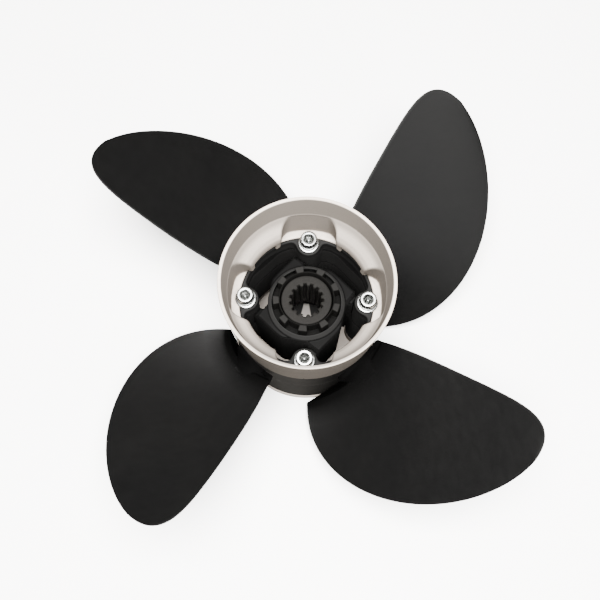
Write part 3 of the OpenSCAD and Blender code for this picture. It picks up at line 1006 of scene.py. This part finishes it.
def mat_zinc():
    m, nt, b = material("zinc_steel")
    v = coords(nt)
    broad = noise(nt, v, 220.0, 4.0)
    fine = noise(nt, coords(nt, (1, 1, 6)), 1600.0, 2.0)
    tc = node(nt, "ShaderNodeTexCoord")
    sep = node(nt, "ShaderNodeSeparateXYZ")
    nt.links.new(tc.outputs["Object"], sep.inputs["Vector"])
    # painted shade: between about 75.9 and 82 mm up, sockets, head sides and spring washers are darkened as shade; head
    # tops and washers keep the lit colour, with a painted glint at each socket's bottom
    shade_band = ramp(nt, remap(nt, sep.outputs["Z"], 0.0, 1.0, 0.074, 0.084),
                [(0.165, (0.0, 0.0, 0.0)), (0.185, (1.0, 1.0, 1.0)), (0.80, (1.0, 1.0, 1.0)), (0.85, (0.0, 0.0, 0.0))])
    # distance from the nearest screw axis
    fold = node(nt, "ShaderNodeVectorMath", operation="ABSOLUTE")
    nt.links.new(tc.outputs["Object"], fold.inputs[0])
    arm = node(nt, "ShaderNodeSeparateXYZ")
    nt.links.new(fold.outputs["Vector"], arm.inputs["Vector"])
    near = node(nt, "ShaderNodeCombineXYZ")
    for op, sock in (("MAXIMUM", "X"), ("MINIMUM", "Y")):
        pick = node(nt, "ShaderNodeMath", operation=op)
        nt.links.new(arm.outputs["X"], pick.inputs[0])
        nt.links.new(arm.outputs["Y"], pick.inputs[1])
        nt.links.new(pick.outputs["Value"], near.inputs[sock])
    gap = node(nt, "ShaderNodeVectorMath", operation="DISTANCE", in_1=(SCREW_R * MM, 0.0, 0.0))
    nt.links.new(near.outputs["Vector"], gap.inputs[0])
    # painted glint: within about 1 mm of each screw axis the socket bottom takes the lit colour
    socket_glint = remap(nt, gap.outputs["Value"], 1.0, 0.0, 0.0006, 0.0010)
    lit_zinc = ramp(nt, broad, [(0.3, (0.19, 0.197, 0.195)), (0.7, (0.24, 0.245, 0.24))])
    shaded_zinc = ramp(nt, broad, [(0.3, (0.115, 0.120, 0.115)), (0.7, (0.150, 0.155, 0.148))])
    col = mix(nt, shade_band, lit_zinc, shaded_zinc)
    nt.links.new(mix(nt, socket_glint, col, lit_zinc), b.inputs["Base Color"])
    nt.links.new(remap(nt, broad, 0.22, 0.34, 0.3, 0.7), b.inputs["Roughness"])
    nt.links.new(bump(nt, b, fine, 0.05, 0.00008), b.inputs["Normal"])
    b.inputs["Metallic"].default_value = 1.0
    return m


def mat_sleeve():
    m, nt, b = material("sleeve_dark")
    v = coords(nt)
    broad = noise(nt, v, 120.0, 4.0)
    fine = noise(nt, v, 1300.0, 3.0)
    col = ramp(nt, broad, [(0.3, (0.0050, 0.0048, 0.0045)), (0.7, (0.0067, 0.0064, 0.0060))])
    col = mix(nt, remap(nt, fine, 0.0, 0.5, 0.55, 0.8), col, (0.0125, 0.0120, 0.0113))
    nt.links.new(col, b.inputs["Base Color"])
    nt.links.new(remap(nt, broad, 0.42, 0.55, 0.3, 0.7), b.inputs["Roughness"])
    nt.links.new(bump(nt, b, fine, 0.15, 0.0001), b.inputs["Normal"])
    b.inputs["Specular IOR Level"].default_value = 0.01
    return m


def mat_bush():
    m, nt, b = material("bush_rubber")
    v = coords(nt)
    broad = noise(nt, v, 150.0, 4.0)
    fine = noise(nt, v, 1500.0, 3.0)
    tc = node(nt, "ShaderNodeTexCoord")
    sep = node(nt, "ShaderNodeSeparateXYZ")
    nt.links.new(tc.outputs["Object"], sep.inputs["Vector"])
    # painted light and shade: the lug tops above 79.45 mm take a lighter lit tone, everything below is painted darker
    # as shade
    lit_lug_tops = remap(nt, sep.outputs["Z"], 0.0, 1.0, 0.07945, 0.07975)
    dark = ramp(nt, broad, [(0.3, (0.0014, 0.0014, 0.0013)), (0.7, (0.0021, 0.0020, 0.0019))])
    painted_lighting = ramp(nt, broad, [(0.3, (0.0051, 0.0050, 0.0048)), (0.7, (0.0068, 0.0066, 0.0063))])
    # painted fill light: below the tops, walls are painted lighter than faces that look up
    up = node(nt, "ShaderNodeSeparateXYZ")
    nt.links.new(tc.outputs["Normal"], up.inputs["Vector"])
    dark = mix(nt, remap(nt, up.outputs["Z"], 1.0, 0.0, 0.15, 0.5), dark, (0.0060, 0.0058, 0.0055))
    nt.links.new(mix(nt, lit_lug_tops, dark, painted_lighting), b.inputs["Base Color"])
    nt.links.new(remap(nt, broad, 0.5, 0.65, 0.3, 0.7), b.inputs["Roughness"])
    nt.links.new(bump(nt, b, fine, 0.15, 0.0001), b.inputs["Normal"])
    b.inputs["Specular IOR Level"].default_value = 0.01
    return m


def mat_bearing():
    m, nt, b = material("bearing_plastic")
    v = coords(nt)
    broad = noise(nt, v, 300.0, 3.0)
    nt.links.new(ramp(nt, broad, [(0.3, (0.16, 0.15, 0.14)), (0.7, (0.21, 0.20, 0.19))]), b.inputs["Base Color"])
    nt.links.new(remap(nt, broad, 0.4, 0.55), b.inputs["Roughness"])
    return m


def mat_floor():
    m, nt, b = material("pale_floor")
    v = coords(nt)
    broad = noise(nt, v, 3.0, 2.0)
    col = ramp(nt, broad, [(0.3, (0.90, 0.90, 0.90)), (0.7, (0.92, 0.92, 0.92))])
    flat = node(nt, "ShaderNodeVectorMath", operation="LENGTH")
    nt.links.new(coords(nt, (1, 1, 0)), flat.inputs[0])
    # the table under the hub is shaded by it, apart from the strip that is lit through the bore
    under = remap(nt, flat.outputs["Value"], 1.0, 0.0, 0.040, 0.047)
    shade = ramp(nt, remap(nt, flat.outputs["Value"], 0.0, 1.0, 0.0, 0.050),
                 [(0.62, (0.225, 0.20, 0.176)), (0.70, (0.110, 0.098, 0.086)), (0.76, (0.030, 0.027, 0.024))])
    tc = node(nt, "ShaderNodeTexCoord")
    sep = node(nt, "ShaderNodeSeparateXYZ")
    nt.links.new(tc.outputs["Object"], sep.inputs["Vector"])
    half = node(nt, "ShaderNodeMath", operation="ABSOLUTE")
    nt.links.new(sep.outputs["X"], half.inputs[0])
    side = node(nt, "ShaderNodeMath", operation="MULTIPLY_ADD", in_1=0.2)
    nt.links.new(sep.outputs["Y"], side.inputs[0])
    nt.links.new(half.outputs["Value"], side.inputs[2])
    strip = node(nt, "ShaderNodeMath", operation="MULTIPLY")
    nt.links.new(remap(nt, side.outputs["Value"], 1.0, 0.0, 0.0050, 0.0058), strip.inputs[0])
    nt.links.new(remap(nt, sep.outputs["Y"], 1.0, 0.0, 0.0165, 0.0200), strip.inputs[1])
    bore = mix(nt, strip.outputs["Value"], (0.006, 0.0055, 0.005), (0.44, 0.41, 0.38))
    inner = remap(nt, flat.outputs["Value"], 1.0, 0.0, 0.0212, 0.0222)
    nt.links.new(mix(nt, under, col, mix(nt, inner, shade, bore)), b.inputs["Base Color"])
    b.inputs["Roughness"].default_value = 0.6
    b.inputs["Specular IOR Level"].default_value = 0.2
    return m


RING, BLACK, BLADE, ZINC, SLEEVE, BUSH, BEARING = (
    mat_ring("ring_paint", ((-0.06, 0.125), (0.0, 0.160), (0.11, 0.128), (0.44, 0.185), (0.64, 0.31), (0.95, 0.44)),
             ((-0.1, 0.043), (0.15, 0.056), (0.5, 0.20), (0.95, 0.52))),
    mat_black(), mat_blade(), mat_zinc(), mat_sleeve(), mat_bush(), mat_bearing())
# painted light and shade: the lip is lighter on faces that look up or down and darker on its walls
LIP = mat_ring("lip_paint", ((-0.9, 0.16), (-0.3, 0.11), (0.3, 0.11), (0.9, 0.2)))


def piece(name, me, mat, body, slot, *nodes):
    o = new_object(name, me)
    me.materials.clear()
    me.materials.append(mat)
    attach(o, body)
    if nodes:
        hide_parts(*nodes)
    return o


# ---------------------------------------------------------------------------
# the propeller
# ---------------------------------------------------------------------------
piece("ring_casting", new_mesh("ring_casting", *ring_mesh()), RING, "ring", "ring_paint", "rear_ring")
piece("hub_rear_moulding", new_mesh("hub_rear_moulding", *hub_rear_mesh()), BLACK, "hub", "hub_black", "hub_rear")
piece("hub_front_moulding", new_mesh("hub_front_moulding", *hub_front_mesh()), BLACK, "hub", "hub_black", "hub_front")
piece("front_lip_ring", new_mesh("front_lip_ring", *lip_mesh()), LIP, "hub", "ring_paint", "front_ring")
piece("cushion_bush", new_mesh("cushion_bush", *bush_mesh()), BUSH, "hub", "bush_rubber", "torsion_bush")
piece("splined_sleeve", new_mesh("splined_sleeve", *sleeve_mesh()), SLEEVE, "sleeve", "sleeve_metal", "drive_sleeve")
piece("snap_ring", new_mesh("snap_ring", *snap_ring_mesh()), ZINC, "hub", "zinc_steel", "bush_retaining_ring")


def four(name, build, spin, node_name):
    parts = []
    for k in range(4):
        v, q, t = build()
        a = math.radians(90 * k)
        parts.append((turned(v, spin[k], (SCREW_R * math.cos(a), SCREW_R * math.sin(a), 0)), q, t))
    return piece(name, new_mesh(name, *joined(parts)), ZINC, "hub", "zinc_steel", node_name)


four("socket_screws", screw_mesh, (10, 37, 52, 24), "clamp_screws")
four("plain_washers", washer_mesh, (0, 0, 0, 0), "flat_washers")
four("split_washers", spring_washer_mesh, (150, 70, 300, 210), "spring_washers")
four("hex_nuts", nut_mesh, (0, 90, 180, 270), "captive_nuts")

BLADE_MESH = united("blade_shell", blade_loft(), blade_root(), blade_tab())
for k, body in enumerate(("blade_a", "blade_b", "blade_c", "blade_d")):
    me = BLADE_MESH.copy()
    me.name = "blade_moulding_%d" % (k + 1)
    me.transform(Matrix.Rotation(math.radians(45 + 90 * k), 4, "Z"))
    piece("blade_moulding_%d" % (k + 1), me, BLADE, body, "blade_composite", "blade_%d" % (k + 1))

for name, mat in [("root_pin_%d" % k, ZINC) for k in (1, 2, 3, 4)] + [("root_thrust_rings", BEARING)]:
    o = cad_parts[name]
    for sl in o.material_slots:
        sl.material = mat

# ---------------------------------------------------------------------------
# floor, light, camera
# ---------------------------------------------------------------------------
S = 1600.0
gx = np.linspace(-S, S, 9)
fv = np.array([(x, y, 0.0) for y in gx for x in gx])
fq = np.array([(j * 9 + i, j * 9 + i + 1, (j + 1) * 9 + i + 1, (j + 1) * 9 + i) for j in range(8) for i in range(8)])
floor = new_object("floor", new_mesh("floor", fv, fq))
floor.data.materials.append(mat_floor())

world = bpy.data.worlds.new("studio")
bpy.context.scene.world = world
world.use_nodes = True
bg = world.node_tree.nodes["Background"]
bg.inputs["Color"].default_value = (1.0, 0.985, 0.965, 1.0)
bg.inputs["Strength"].default_value = 0.14


def area(name, pos, target, size, power, color=(1, 1, 1)):
    li = bpy.data.lights.new(name, "AREA")
    li.shape = "RECTANGLE"
    li.size, li.size_y = size
    li.energy = power
    li.color = color
    o = bpy.data.objects.new(name, li)
    bpy.context.scene.collection.objects.link(o)
    p, t = np.array(pos, dtype=float), np.array(target, dtype=float)
    z = (p - t) / np.linalg.norm(p - t)
    up = np.array((0, 1, 0)) if abs(z[1]) < 0.9 else np.array((1, 0, 0))
    x = np.cross(up, z)
    x /= np.linalg.norm(x)
    y = np.cross(z, x)
    M = Matrix.Identity(4)
    for i in range(3):
        M[i][0], M[i][1], M[i][2], M[i][3] = x[i], y[i], z[i], p[i]
    o.matrix_world = M
    return o


area("key", (0.0, -0.12, 1.25), (0, 0.0, 0.03), (0.80, 0.80), 186.0, (1.0, 0.985, 0.965))
area("side", (0.60, -0.72, 0.80), (0.07, 0.07, 0.05), (0.5, 0.5), 12.0)

cam_data = bpy.data.cameras.new("camera")
cam_data.sensor_width = 36.0
cam_data.sensor_fit = "HORIZONTAL"
cam_data.lens = 44.977
cam_data.clip_start = 0.01
cam = bpy.data.objects.new("camera", cam_data)
bpy.context.scene.collection.objects.link(cam)
right = (0.999277, 0.037971, 0.001766)
upv = (-0.037072, 0.963251, 0.266032)
back = (0.0084, -0.265905, 0.963963)
M = Matrix.Identity(4)
for i in range(3):
    M[i][0], M[i][1], M[i][2] = right[i], upv[i], back[i]
M[0][3], M[1][3], M[2][3] = -0.000128, -0.118905, 0.506514
cam.matrix_world = M
bpy.context.scene.camera = cam
